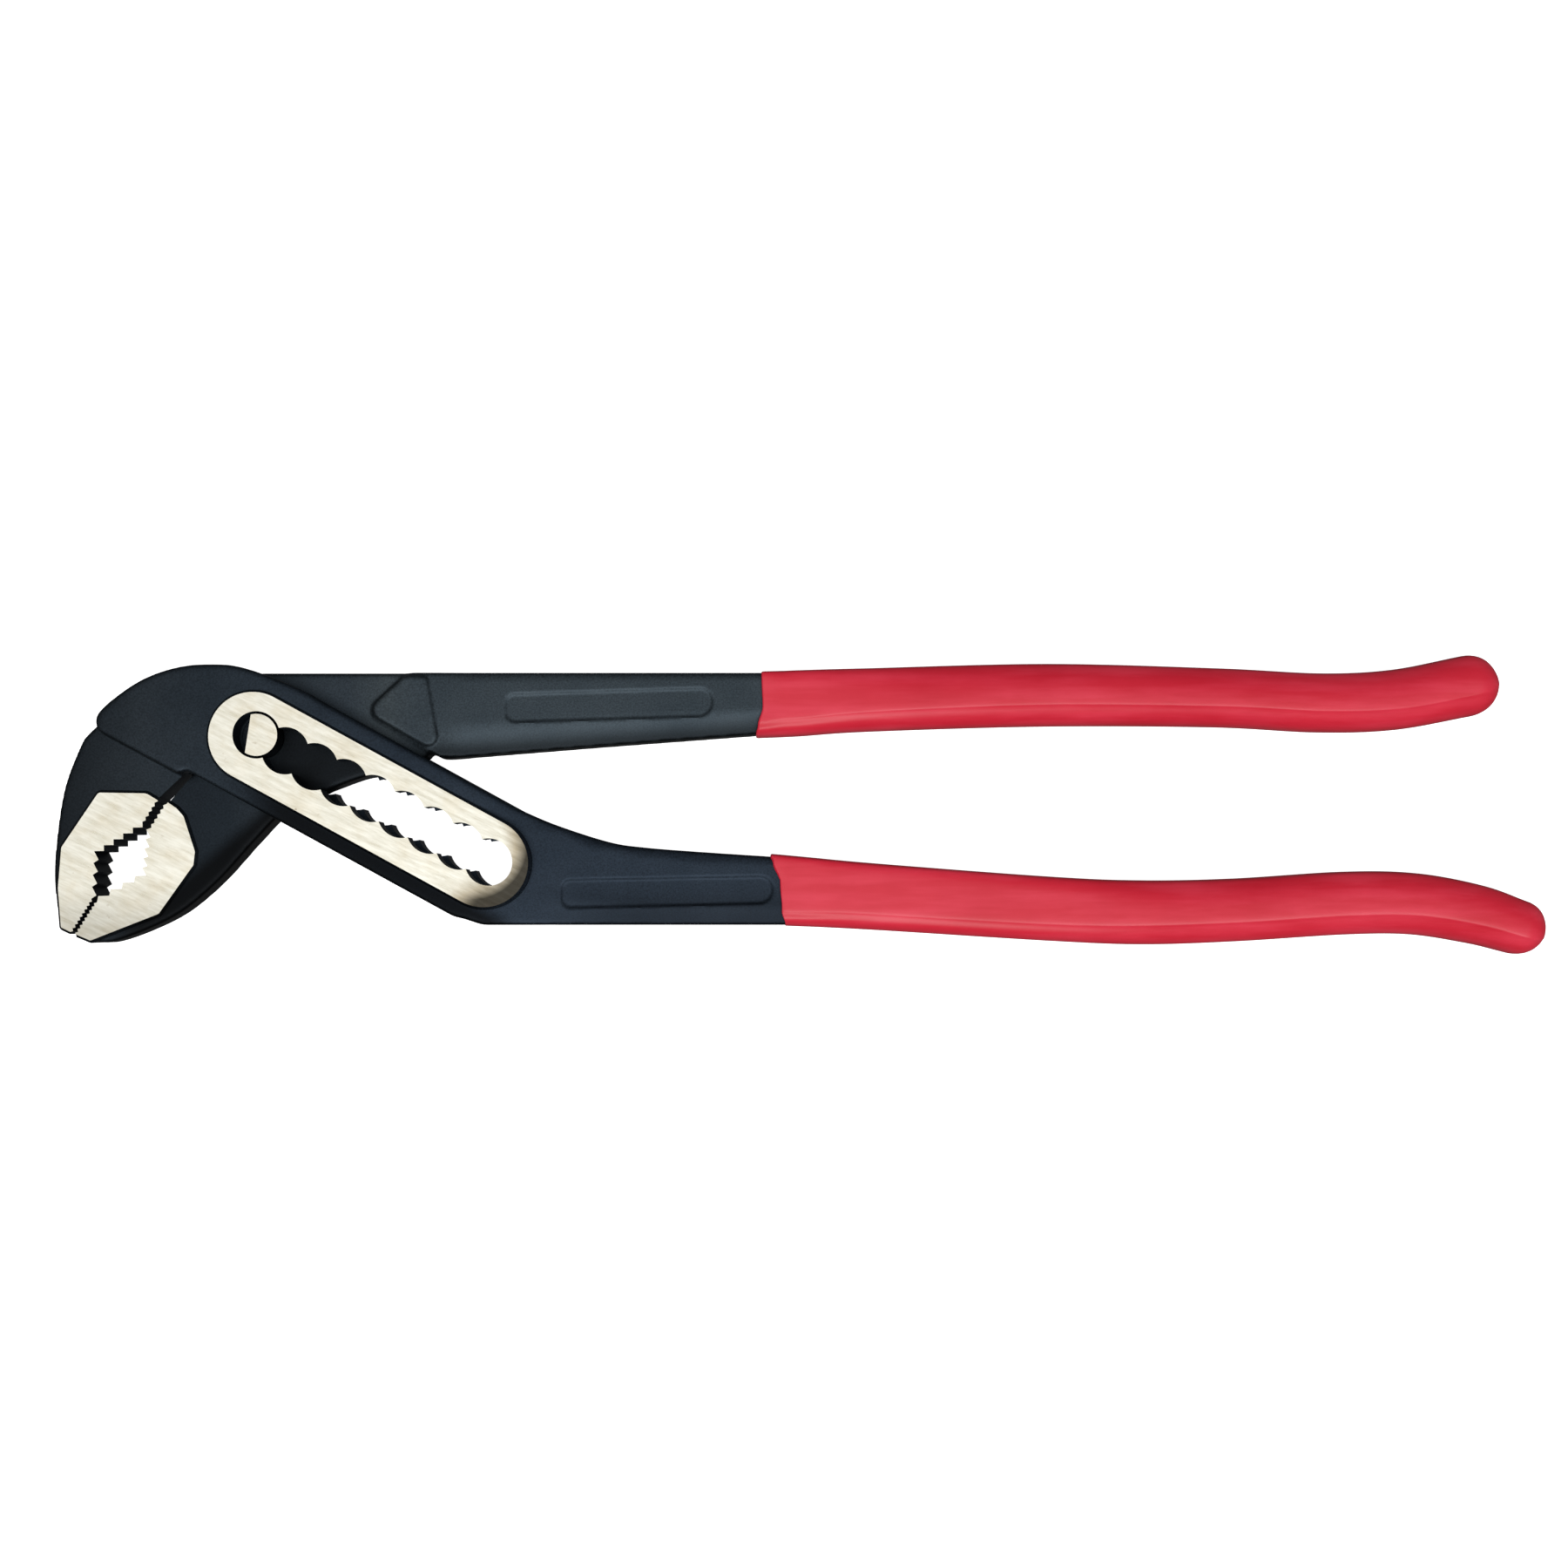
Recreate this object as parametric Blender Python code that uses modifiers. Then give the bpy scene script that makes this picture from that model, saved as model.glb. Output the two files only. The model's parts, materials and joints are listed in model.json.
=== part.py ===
"""Tongue and groove pliers, 400 mm long, with a box joint and two dipped grips.

The pliers lie flat. X runs along the handles, Z through the thickness, and the
jaws point to -X. Everything is drawn about the pivot at the slot's first notch,
on the middle plane, and the root empty then sets the whole tool down with the
middle of its underside at the world's origin.
"""

import math

import bmesh
import bpy
from mathutils import Matrix, Vector

MM = 0.001

# ---- Thicknesses, measured through the tool ----
BOSS_THICKNESS = 20.0 * MM          # over the two ground faces round the slot
BOSS_RISE = 0.5 * MM                # ground face above the forged cheek
WINDOW_GAP = 8.6 * MM               # hollow between the two cheeks
SIDE_CLEARANCE = 0.3 * MM           # tongue to cheek, each side
JAW_PAD_RISE = 0.8 * MM             # ground jaw face above the forged jaw
SHANK_THICKNESS = 9.0 * MM          # bare handle bars
THUMB_PAD_RISE = 0.6 * MM           # raised triangle on the upper handle
GRIP_THICKNESS = 16.0 * MM

# ---- The slot and its notches ----
SLOT_ANGLE = math.radians(-28.7)
NOTCH_COUNT = 9
NOTCH_PITCH = 8.66 * MM
NOTCH_RADIUS = 6.2 * MM
BOSS_RADIUS = 11.65 * MM
BOSS_DROP = 0.8 * MM                # boss centre line below the slot's
BOSS_START = -0.6 * MM              # boss end centre from the first notch, along the slot
BOSS_END = -1.1 * MM                # the same from the last notch
ARM_ABOVE = 15.9 * MM               # slot line to the arm's upper edge
ARM_BELOW = 17.6 * MM               # slot line to the arm's lower edge
BOX_BELOW = 19.0 * MM               # slot line to the box's edge over the fixed jaw
WINDOW_END_RADIUS = 23.5 * MM       # end wall of the window about the last notch
WINDOW_END_REACH = math.radians(50.0)     # how far that wall turns to each side of the slot
FOOT_RADIUS = 8.0 * MM              # bend where the arm's lower edge meets the bar
FOOT_BACK = 2.5 * MM                # centre of that bend before the last notch
FOOT_TURN = math.radians(-95.0)     # where that bend starts
STEP_TOP = -12.0 * MM               # step up from the box's edge to the arm's, along the slot
STEP_FOOT = -13.5 * MM

# ---- The pivot ----
PIN_RADIUS = 5.5 * MM               # round middle of the pin, in the tongue
PIN_FLAT = 2.2 * MM                 # pin centre to its flat
PIN_FLAT_ANGLE = math.radians(171.2)
PIN_BORE_CLEARANCE = 0.3 * MM
PIN_SLOT_CLEARANCE = 0.25 * MM
TONGUE_RADIUS = 17.15 * MM          # back of the tongue about the pin
TONGUE_CLEARANCE = 0.45 * MM
TONGUE_TURN = math.radians(205.0)   # where that round back ends, at the throat
OPENING_ANGLE = math.radians(60.0)

# ---- Teeth ----
COARSE_DEPTH = 1.3 * MM
FINE_DEPTH = 0.55 * MM
CLOSED_GAP = 0.7 * MM               # between the jaws' flats when closed
THROAT_GAP = 1.8 * MM               # between the jaws behind the recess

# ---- Handles and grips ----
UPPER_GRIP_START = 131.0 * MM       # pivot to the grip's mouth
UPPER_GRIP_LENGTH = 198.3 * MM
LOWER_GRIP_START = 76.6 * MM        # last notch to the grip's mouth
LOWER_GRIP_LENGTH = 206.0 * MM
GRIP_WALL = 1.0 * MM
GRIP_CLEARANCE = 0.3 * MM
GRIP_EDGE_RADIUS = 5.0 * MM
SHOULDER_GAP = 0.4 * MM             # bar's shoulder to the middle of the grip's mouth
SHOULDER_SLANT = 0.8 * MM           # room for the mouth's slant at its lower corner
RAMP_START = 20.0 * MM              # last notch to where the cheeks start to thin
RAMP_LENGTH = 32.0 * MM

# ---- Sizes that follow ----
CHEEK_THICKNESS = BOSS_THICKNESS - 2 * BOSS_RISE
TONGUE_THICKNESS = WINDOW_GAP - 2 * SIDE_CLEARANCE
JAW_THICKNESS = TONGUE_THICKNESS
PAD_THICKNESS = JAW_THICKNESS + 2 * JAW_PAD_RISE
THUMB_PAD_THICKNESS = max(SHANK_THICKNESS, TONGUE_THICKNESS) + 2 * THUMB_PAD_RISE
SLOT_LENGTH = (NOTCH_COUNT - 1) * NOTCH_PITCH
CUSP_HALF_GAP = math.sqrt(NOTCH_RADIUS ** 2 - (NOTCH_PITCH / 2) ** 2)
PIN_END_RADIUS = CUSP_HALF_GAP - PIN_SLOT_CLEARANCE
GRIP_INSET = GRIP_WALL + GRIP_CLEARANCE
CUT_DEPTH = 3 * BOSS_THICKNESS

CURVE_STEPS = 5
ARC_STEP = math.radians(12.0)
OVERLAP = 3.0 * MM                  # how far joined blanks run into each other
REACH = 60.0 * MM                   # how far cutters run past the metal


# ---------------------------------------------------------------- outlines

def millimetres(*points):
    """Points given in millimetres, as vectors in metres."""
    return [Vector(point) * MM for point in points]


def along_slot(along, across):
    """The point this far along the slot from the first notch and this far above its line."""
    cosine, sine = math.cos(SLOT_ANGLE), math.sin(SLOT_ANGLE)
    return Vector((along * cosine - across * sine, along * sine + across * cosine))


LAST_NOTCH = along_slot(SLOT_LENGTH, 0.0)


def from_last_notch(*points):
    """Points given in millimetres from the last notch."""
    return [LAST_NOTCH + point for point in millimetres(*points)]


def arc(centre, radius, start, end):
    """Points on a circle from one angle to another, ends included."""
    count = max(2, math.ceil(abs(end - start) / ARC_STEP))
    angles = [start + (end - start) * step / count for step in range(count + 1)]
    return [Vector(centre) + radius * Vector((math.cos(a), math.sin(a))) for a in angles]


def smooth(points, steps=CURVE_STEPS):
    """A smooth curve through points of any dimension, with even steps between them."""
    points = [Vector(point) for point in points]
    padded = [2 * points[0] - points[1]] + points + [2 * points[-1] - points[-2]]
    result = [points[0]]
    for before, start, end, after in zip(padded, padded[1:], padded[2:], padded[3:]):
        for step in range(1, steps + 1):
            t = step / steps
            result.append(0.5 * (
                2 * start + (end - before) * t
                + (2 * before - 5 * start + 4 * end - after) * t ** 2
                + (3 * start - before - 3 * end + after) * t ** 3))
    return result


def teeth(start, end, count, depth, crest):
    """Saw teeth from start to end that stand up to depth on the left of the way.

    The crest says where in each pitch the tooth is highest, from 0 to 1.
    """
    start, end = Vector(start), Vector(end)
    pitch = (end - start) / count
    outward = Vector((-pitch.y, pitch.x)).normalized() * depth
    result = []
    for number in range(count):
        root = start + pitch * number
        result += [root, root + pitch * crest + outward]
    return result + [end]


def bar(stations, inset, lead=0.0):
    """Outline of a round-ended bar: its upper side, its end and its lower side.

    Stations are (x, y, width) down its middle, and inset is taken off all round.
    """
    middle = smooth(stations)
    slope = (middle[1] - middle[0]) / (middle[1].x - middle[0].x)
    middle = [middle[0] - slope * lead] + middle[lead == 0.0:]
    upper, lower = [], []
    for number, station in enumerate(middle):
        before = middle[max(number - 1, 0)]
        after = middle[min(number + 1, len(middle) - 1)]
        way = (after - before).to_2d().normalized()
        side = Vector((-way.y, way.x)) * (station.z / 2 - inset)
        upper.append(station.to_2d() + side)
        lower.append(station.to_2d() - side)
    heading = math.atan2(way.y, way.x)
    last = middle[-1]
    quarter = math.pi / 2
    end = arc(last.to_2d(), last.z / 2 - inset, heading + quarter, heading - quarter)
    return upper[:-1] + end + lower[-2::-1]


# ------------------------------------------------------------- solid tools

def plate(name, outline, thickness):
    """A flat plate of this outline, centred on the middle plane, as a mesh object."""
    curve = bpy.data.curves.new(name, "CURVE")
    curve.dimensions = "2D"
    curve.fill_mode = "BOTH"
    curve.extrude = thickness / 2
    spline = curve.splines.new("POLY")
    spline.points.add(len(outline) - 1)
    for point, place in zip(spline.points, outline):
        point.co = (place[0], place[1], 0.0, 1.0)
    spline.use_cyclic_u = True
    drawn = bpy.data.objects.new(name, curve)
    bpy.context.scene.collection.objects.link(drawn)
    graph = bpy.context.evaluated_depsgraph_get()
    mesh = bpy.data.meshes.new_from_object(drawn.evaluated_get(graph))
    bpy.data.objects.remove(drawn)
    bpy.data.curves.remove(curve)
    shell = bmesh.new()
    shell.from_mesh(mesh)
    bmesh.ops.remove_doubles(shell, verts=shell.verts, dist=0.00001)
    bmesh.ops.recalc_face_normals(shell, faces=shell.faces)
    shell.to_mesh(mesh)
    shell.free()
    return bpy.data.objects.new(name, mesh)


def cylinder(name, radius, depth, segments=48):
    """A round bar along Z, centred on the pivot."""
    shell = bmesh.new()
    bmesh.ops.create_cone(shell, cap_ends=True, segments=segments, depth=depth,
                          radius1=radius, radius2=radius)
    mesh = bpy.data.meshes.new(name)
    shell.to_mesh(mesh)
    shell.free()
    return bpy.data.objects.new(name, mesh)


def keep(piece, material):
    """Puts a finished piece among the tool's parts."""
    parts.objects.link(piece)
    piece.parent = root
    piece.data.materials.clear()
    piece.data.materials.append(material)
    return piece


def apply_to(piece, operation, tool):
    """Joins, cuts or keeps the common part of piece with a tool, which becomes a guide."""
    cutters.objects.link(tool)
    tool.parent = root
    tool.hide_render = True
    tool.display_type = "WIRE"
    modifier = piece.modifiers.new(tool.name, "BOOLEAN")
    modifier.operation = operation
    modifier.object = tool
    modifier.solver = "EXACT"


def finish(name, colour, metallic, roughness):
    """A plain surface finish."""
    material = bpy.data.materials.new(name)
    material.use_nodes = True
    shader = material.node_tree.nodes["Principled BSDF"]
    shader.inputs["Base Color"].default_value = (*colour, 1.0)
    shader.inputs["Metallic"].default_value = metallic
    shader.inputs["Roughness"].default_value = roughness
    return material


# -------------------------------------------------------------------- jaws

# Where the two jaws meet, from the throat down to the tip.
THROAT_TOP, THROAT_END = millimetres((-19.7, -9.7), (-26.6, -16.9))
RECESS_TOP, RECESS_FOOT, TIP = millimetres((-30.6, -23.2), (-44.6, -43.3), (-50.2, -52.1))
FIXED_CORNER, MOVING_CORNER = millimetres((-44.6, -30.2), (-30.8, -36.7))
FLAT_WAY = (THROAT_END - TIP).normalized()
FLAT_SIDE = Vector((FLAT_WAY.y, -FLAT_WAY.x))     # from the fixed jaw to the moving one
FINE_TIP_TEETH, FINE_BACK_TEETH = 9, 5
COARSE_LOWER_TEETH, COARSE_UPPER_TEETH = 4, 4


def jaw_face(side, corner):
    """One jaw's biting face from its tip up to the throat. Side is -1 fixed, 1 moving."""
    closed = FLAT_SIDE * side * (CLOSED_GAP / 2 + FINE_DEPTH)
    apart = FLAT_SIDE * side * (THROAT_GAP / 2 + FINE_DEPTH)
    fine, coarse = side * FINE_DEPTH, side * COARSE_DEPTH
    return (
        teeth(TIP + closed, RECESS_FOOT + closed, FINE_TIP_TEETH, fine, 0.5)
        + teeth(RECESS_FOOT + closed, corner, COARSE_LOWER_TEETH, coarse, 0.3)
        + teeth(corner, RECESS_TOP + apart, COARSE_UPPER_TEETH, coarse, 0.75)
        + teeth(RECESS_TOP + apart, THROAT_END + apart, FINE_BACK_TEETH, fine, 0.5)
        + [THROAT_TOP + FLAT_SIDE * side * THROAT_GAP / 2])


def space_beside(name, face, side):
    """A cutter for everything on the open side of a biting face."""
    far = FLAT_SIDE * -side * REACH
    below = -FLAT_WAY * REACH
    outline = [face[0] + below, *face, face[-1] + far, face[0] + far + below]
    return plate(name, outline, CUT_DEPTH)


# ------------------------------------------------------------ slotted half

def slotted_outline():
    """Head, arm, neck and lower bar in one outline, without the fixed jaw."""
    head = smooth(millimetres((-42.4, 1.2), (-42.9, 4.7), (-39.9, 8.6), (-31.3, 14.8),
                              (-22.2, 18.2), (-13.0, 19.1), (-4.0, 18.1))
                  + [along_slot(2.0 * MM, ARM_ABOVE), along_slot(12.0 * MM, ARM_ABOVE)])
    neck_top = smooth([along_slot(SLOT_LENGTH, ARM_ABOVE)]
                      + from_last_notch((17.3, 9.9), (31.1, 5.5), (40.4, 4.1), (54.3, 3.0),
                                        (72.0, 1.8)))
    bar_end = bar(lower_stations(), GRIP_INSET, lead=SHOULDER_GAP)
    mouth = (LOWER_GRIP_START - SHOULDER_GAP - SHOULDER_SLANT) / MM
    shoulder = from_last_notch((mouth, -16.2), (-2.0, -16.2))
    foot = arc(along_slot(SLOT_LENGTH - FOOT_BACK, FOOT_RADIUS - ARM_BELOW), FOOT_RADIUS,
               FOOT_TURN, SLOT_ANGLE - math.pi / 2)
    edge = [along_slot(STEP_TOP, -ARM_BELOW), along_slot(STEP_FOOT, -BOX_BELOW)]
    return head + neck_top + bar_end + shoulder + foot + edge


def lower_stations():
    """Middle line and width of the lower grip."""
    shape = ((0.0, -6.9, 19.0), (0.12, -8.7, 18.0), (0.35, -12.0, 17.5), (0.47, -13.1, 17.3),
             (0.59, -12.4, 17.1), (0.73, -10.6, 17.1), (0.82, -10.6, 17.0), (0.90, -13.3, 16.8),
             (0.96, -16.8, 16.0))
    return stations(shape, LAST_NOTCH, LOWER_GRIP_START, LOWER_GRIP_LENGTH)


def upper_stations():
    """Middle line and width of the upper grip."""
    shape = ((0.0, 9.2, 18.2), (0.15, 10.8, 17.4), (0.39, 11.9, 17.0), (0.62, 11.2, 16.2),
             (0.76, 9.8, 16.1), (0.86, 10.7, 16.4), (0.96, 14.2, 16.0))
    return stations(shape, Vector((0.0, 0.0)), UPPER_GRIP_START, UPPER_GRIP_LENGTH)


def stations(shape, anchor, start, length):
    """Bar stations from shares of the grip's length and millimetres across it."""
    return [Vector((anchor.x + start + share * length, anchor.y + y * MM, width * MM))
            for share, y, width in shape]


def ramp(name, direction):
    """Cutter that thins the cheeks down to the bare bar, above or below the middle plane."""
    start = LAST_NOTCH.x + RAMP_START
    half, low = CHEEK_THICKNESS / 2, SHANK_THICKNESS / 2
    slope = (half - low) / RAMP_LENGTH
    end = start + LOWER_GRIP_START + LOWER_GRIP_LENGTH + REACH
    profile = [(start - OVERLAP / slope / 4, half + OVERLAP / 4), (start + RAMP_LENGTH, low),
               (end, low), (end, half + OVERLAP), (start, half + OVERLAP)]
    tool = plate(name, [(x, z * direction) for x, z in profile], 4 * REACH)
    tool.data.transform(Matrix.Rotation(math.pi / 2, 4, "X"))
    return tool


def window():
    """The hollow between the cheeks, where the tongue turns and slides."""
    back = TONGUE_RADIUS + TONGUE_CLEARANCE
    stop_angle = math.pi / 2 + OPENING_ANGLE
    stop_way = Vector((math.cos(OPENING_ANGLE), math.sin(OPENING_ANGLE)))
    wall = arc((0.0, 0.0), back, stop_angle, TONGUE_TURN)
    end = arc(LAST_NOTCH, WINDOW_END_RADIUS, SLOT_ANGLE - WINDOW_END_REACH,
              SLOT_ANGLE + WINDOW_END_REACH)
    sideways = along_slot(0.0, REACH)
    outline = ([wall[0] + stop_way * REACH] + wall
               + [THROAT_TOP - FLAT_SIDE * THROAT_GAP / 2, THROAT_TOP - Vector((0.0, REACH))]
               + [end[0] - sideways] + end + [end[-1] + sideways])
    return plate("window_cutter", outline, WINDOW_GAP)


def slot():
    """The scalloped slot: a round notch at every pitch, open into the next."""
    half = math.acos(NOTCH_PITCH / 2 / NOTCH_RADIUS)
    outline = []
    for side in (1, -1):
        for step in range(NOTCH_COUNT):
            number = NOTCH_COUNT - 1 - step if side > 0 else step
            first, last = number == 0, number == NOTCH_COUNT - 1
            start = 0.0 if last else half
            finish_angle = math.pi if first else math.pi - half
            turn = (start, finish_angle) if side > 0 else (finish_angle, start)
            outline += arc(along_slot(number * NOTCH_PITCH, 0.0), NOTCH_RADIUS,
                           SLOT_ANGLE + side * turn[0], SLOT_ANGLE + side * turn[1])[:-1]
    return plate("slot_cutter", outline, CUT_DEPTH)


def boss():
    """The ground faces round the slot."""
    quarter = math.pi / 2
    outline = (arc(along_slot(BOSS_START, -BOSS_DROP), BOSS_RADIUS,
                   SLOT_ANGLE + quarter, SLOT_ANGLE + 3 * quarter)
               + arc(along_slot(SLOT_LENGTH + BOSS_END, -BOSS_DROP), BOSS_RADIUS,
                     SLOT_ANGLE - quarter, SLOT_ANGLE + quarter))
    return plate("boss", outline, BOSS_THICKNESS)


def make_slotted_half(material):
    """The outer half: head, fixed jaw, two cheeks, neck and lower bar."""
    jaw = (smooth(millimetres((-38.0, 9.0), (-47.2, 1.8), (-50.2, -3.1), (-54.4, -15.0),
                              (-56.6, -33.0), (-56.4, -43.0), (-55.0, -50.2)))
           + millimetres((-46.0, -54.2), (-28.0, -36.0), (-24.0, -17.0), (-17.0, -8.0),
                         (-20.0, 2.0)))
    pad = (millimetres((-43.5, -14.7), (-30.8, -14.9), (-22.0, -17.2), (-26.0, -36.0),
                       (-46.0, -54.0), (-53.6, -50.6), (-54.5, -40.0), (-53.6, -29.4)))
    half = plate("slotted_half", slotted_outline(), CHEEK_THICKNESS)
    apply_to(half, "DIFFERENCE", ramp("upper_ramp_cutter", 1))
    apply_to(half, "DIFFERENCE", ramp("lower_ramp_cutter", -1))
    blank = plate("fixed_jaw_blank", jaw, JAW_THICKNESS)
    apply_to(blank, "UNION", plate("fixed_jaw_pad", pad, PAD_THICKNESS))
    apply_to(blank, "DIFFERENCE", space_beside("fixed_jaw_cutter", jaw_face(-1, FIXED_CORNER), -1))
    apply_to(half, "UNION", blank)
    apply_to(half, "UNION", boss())
    apply_to(half, "DIFFERENCE", window())
    apply_to(half, "DIFFERENCE", slot())
    return keep(half, material)


# -------------------------------------------------------------- inner half

def make_inner_half(material):
    """The half that turns: upper bar, thin tongue through the window, and moving jaw."""
    tongue = (arc((0.0, 0.0), TONGUE_RADIUS, math.pi / 2, TONGUE_TURN)
              + millimetres((-26.0, -14.0), (-44.0, -34.0), (-52.5, -51.2))
              + smooth(millimetres((-45.4, -54.2), (-40.4, -54.3), (-31.0, -51.0),
                                   (-21.6, -46.1), (-12.2, -38.1), (-3.4, -28.4), (3.0, -21.5)))
              + smooth(millimetres((16.6, -14.0), (26.0, -10.6), (33.0, -9.3), (43.3, -5.2)))
              + [Vector((46.0 * MM, 3.0 * MM)), Vector((44.0 * MM, TONGUE_RADIUS))])
    pad = millimetres((-22.7, -18.9), (-20.9, -21.0), (-17.9, -30.3), (-18.3, -33.9),
                      (-27.5, -46.8), (-45.6, -53.9), (-52.0, -51.2), (-40.0, -34.0),
                      (-28.0, -15.0))
    top, mouth = 17.3, (UPPER_GRIP_START - SHOULDER_GAP - SHOULDER_SLANT) / MM
    shank = (millimetres((mouth, 0.9), (91.1, -2.0), (50.0, -5.3), (46.9, -5.3), (44.8, -4.2),
                         (29.2, 5.4), (29.0, 8.0), (39.0, top), (mouth, top))
             + bar(upper_stations(), GRIP_INSET, lead=SHOULDER_GAP))
    thumb_pad = millimetres((43.2, 17.0), (46.4, 0.0), (44.8, -2.9), (30.4, 6.0), (30.2, 8.4),
                            (38.6, 17.0))
    half = plate("inner_half", tongue, TONGUE_THICKNESS)
    apply_to(half, "UNION", plate("moving_jaw_pad", pad, PAD_THICKNESS))
    apply_to(half, "DIFFERENCE", space_beside("moving_jaw_cutter", jaw_face(1, MOVING_CORNER), 1))
    apply_to(half, "UNION", plate("upper_bar", shank, SHANK_THICKNESS))
    apply_to(half, "UNION", plate("thumb_pad", thumb_pad, THUMB_PAD_THICKNESS))
    apply_to(half, "DIFFERENCE", cylinder("pin_bore", PIN_RADIUS + PIN_BORE_CLEARANCE, CUT_DEPTH))
    return keep(half, material)


# ------------------------------------------------------------ pin and grips

def make_pivot_pin(material):
    """The pin: round in the tongue, with thinner flatted ends that run in the slot."""
    pin = cylinder("pivot_pin", PIN_END_RADIUS, BOSS_THICKNESS)
    way = Vector((math.cos(PIN_FLAT_ANGLE), math.sin(PIN_FLAT_ANGLE)))
    side = Vector((-way.y, way.x))
    flat = [way * (PIN_FLAT + REACH * out) + side * REACH * across
            for out, across in ((0, -1), (1, -1), (1, 1), (0, 1))]
    apply_to(pin, "DIFFERENCE", plate("pin_flat_cutter", flat, CUT_DEPTH))
    apply_to(pin, "UNION", cylinder("pin_middle", PIN_RADIUS, TONGUE_THICKNESS))
    return keep(pin, material)


def make_grip(name, line, material):
    """A dipped grip: a rounded sleeve with a blind pocket for the bar."""
    grip = plate(name, bar(line, 0.0), GRIP_THICKNESS)
    rounding = grip.modifiers.new("rounding", "BEVEL")
    rounding.width = GRIP_EDGE_RADIUS
    rounding.segments = 3
    rounding.limit_method = "ANGLE"
    rounding.angle_limit = math.radians(60.0)
    pocket = bar(line, GRIP_WALL, lead=OVERLAP)
    height = SHANK_THICKNESS + 2 * GRIP_CLEARANCE
    apply_to(grip, "DIFFERENCE", plate(name + "_pocket", pocket, height))
    return keep(grip, material)


def stand_on_origin():
    """Sets the tool down with the middle of its underside at the world's origin."""
    bpy.context.view_layer.update()
    graph = bpy.context.evaluated_depsgraph_get()
    corners = [vertex.co.copy() for piece in parts.objects
               for vertex in piece.evaluated_get(graph).data.vertices]
    low = [min(corner[axis] for corner in corners) for axis in range(3)]
    high = [max(corner[axis] for corner in corners) for axis in range(3)]
    root.location = (-(low[0] + high[0]) / 2, -(low[1] + high[1]) / 2, -low[2])


for old in list(bpy.data.objects):
    bpy.data.objects.remove(old)
parts = bpy.data.collections.new("tongue_and_groove_pliers")
cutters = bpy.data.collections.new("cutters")
bpy.context.scene.collection.children.link(parts)
bpy.context.scene.collection.children.link(cutters)
root = bpy.data.objects.new("pliers_root", None)
bpy.context.scene.collection.objects.link(root)

black_steel = finish("phosphated_steel", (0.024, 0.027, 0.031), 0.6, 0.45)
ground_steel = finish("ground_steel", (0.62, 0.60, 0.54), 1.0, 0.35)
red_vinyl = finish("dipped_vinyl", (0.78, 0.02, 0.05), 0.0, 0.4)

make_slotted_half(black_steel)
make_inner_half(black_steel)
make_pivot_pin(ground_steel)
make_grip("upper_grip", upper_stations(), red_vinyl)
make_grip("lower_grip", lower_stations(), red_vinyl)
stand_on_origin()
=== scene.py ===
"""The looks of the tongue and groove pliers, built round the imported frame."""

import json
import math

import bmesh
import bpy
from mathutils import Matrix, Vector


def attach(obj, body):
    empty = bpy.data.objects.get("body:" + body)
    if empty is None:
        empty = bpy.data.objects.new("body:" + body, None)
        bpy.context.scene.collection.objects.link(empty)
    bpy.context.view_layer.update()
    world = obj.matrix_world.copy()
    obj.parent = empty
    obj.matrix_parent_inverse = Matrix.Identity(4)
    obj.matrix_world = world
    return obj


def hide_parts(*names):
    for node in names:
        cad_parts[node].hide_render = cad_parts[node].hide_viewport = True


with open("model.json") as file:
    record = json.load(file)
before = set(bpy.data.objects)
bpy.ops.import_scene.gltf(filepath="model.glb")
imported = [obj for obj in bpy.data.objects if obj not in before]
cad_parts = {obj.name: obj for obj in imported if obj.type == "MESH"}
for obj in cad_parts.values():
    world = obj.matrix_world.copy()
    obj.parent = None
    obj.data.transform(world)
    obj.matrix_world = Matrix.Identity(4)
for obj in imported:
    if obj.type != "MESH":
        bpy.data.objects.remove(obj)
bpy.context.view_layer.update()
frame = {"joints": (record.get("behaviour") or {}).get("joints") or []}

MM = 0.001
JOINTS = {joint["name"]: joint for joint in frame["joints"]}
PIVOT = Vector(JOINTS["handle_pivot"]["pos_m"])
SLOT_WAY = Vector(JOINTS["position_slide"]["axis"]).to_2d()
SLOT_SIDE = Vector((-SLOT_WAY.y, SLOT_WAY.x))
SLOT_ANGLE = math.atan2(SLOT_WAY.y, SLOT_WAY.x)

# Thicknesses, measured through the tool.
BOSS_T, CHEEK_T, WINDOW_GAP = 20.0 * MM, 18.5 * MM, 8.6 * MM
TONGUE_T, JAW_PAD_T, SHANK_T = 8.0 * MM, 9.6 * MM, 9.0 * MM
THUMB_PAD_T = 10.5 * MM
PAD_CHAMFER, BOSS_CHAMFER = 0.75 * MM, 0.7 * MM
PANEL_DEPTH, PANEL_EDGE = 0.45 * MM, 0.9 * MM

# The slot and the arm round it. Arm and box edges are distances from the slot's line.
PITCH, NOTCHES, NOTCH_R = 8.66 * MM, 9, 6.2 * MM
SLOT_LENGTH = (NOTCHES - 1) * PITCH
SLOT_RELIEF = 0.6 * MM      # how far the lower cheek's slot is cut back on its upper side
BOSS_R, BOSS_DROP = 11.65 * MM, -0.8 * MM
BOSS_START, BOSS_END = -0.6 * MM, SLOT_LENGTH - 1.1 * MM
BOSS_WEAR = 0.6 * MM        # how far the boss dips at its far end
ARM_ABOVE, ARM_BELOW, BOX_BELOW = 15.9 * MM, 17.1 * MM, 19.0 * MM
STEP_TOP, STEP_FOOT = -12.0 * MM, -13.5 * MM
FOOT_R, FOOT_BACK, FOOT_TURN = 8.0 * MM, 2.5 * MM, math.radians(-95.0)

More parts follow.
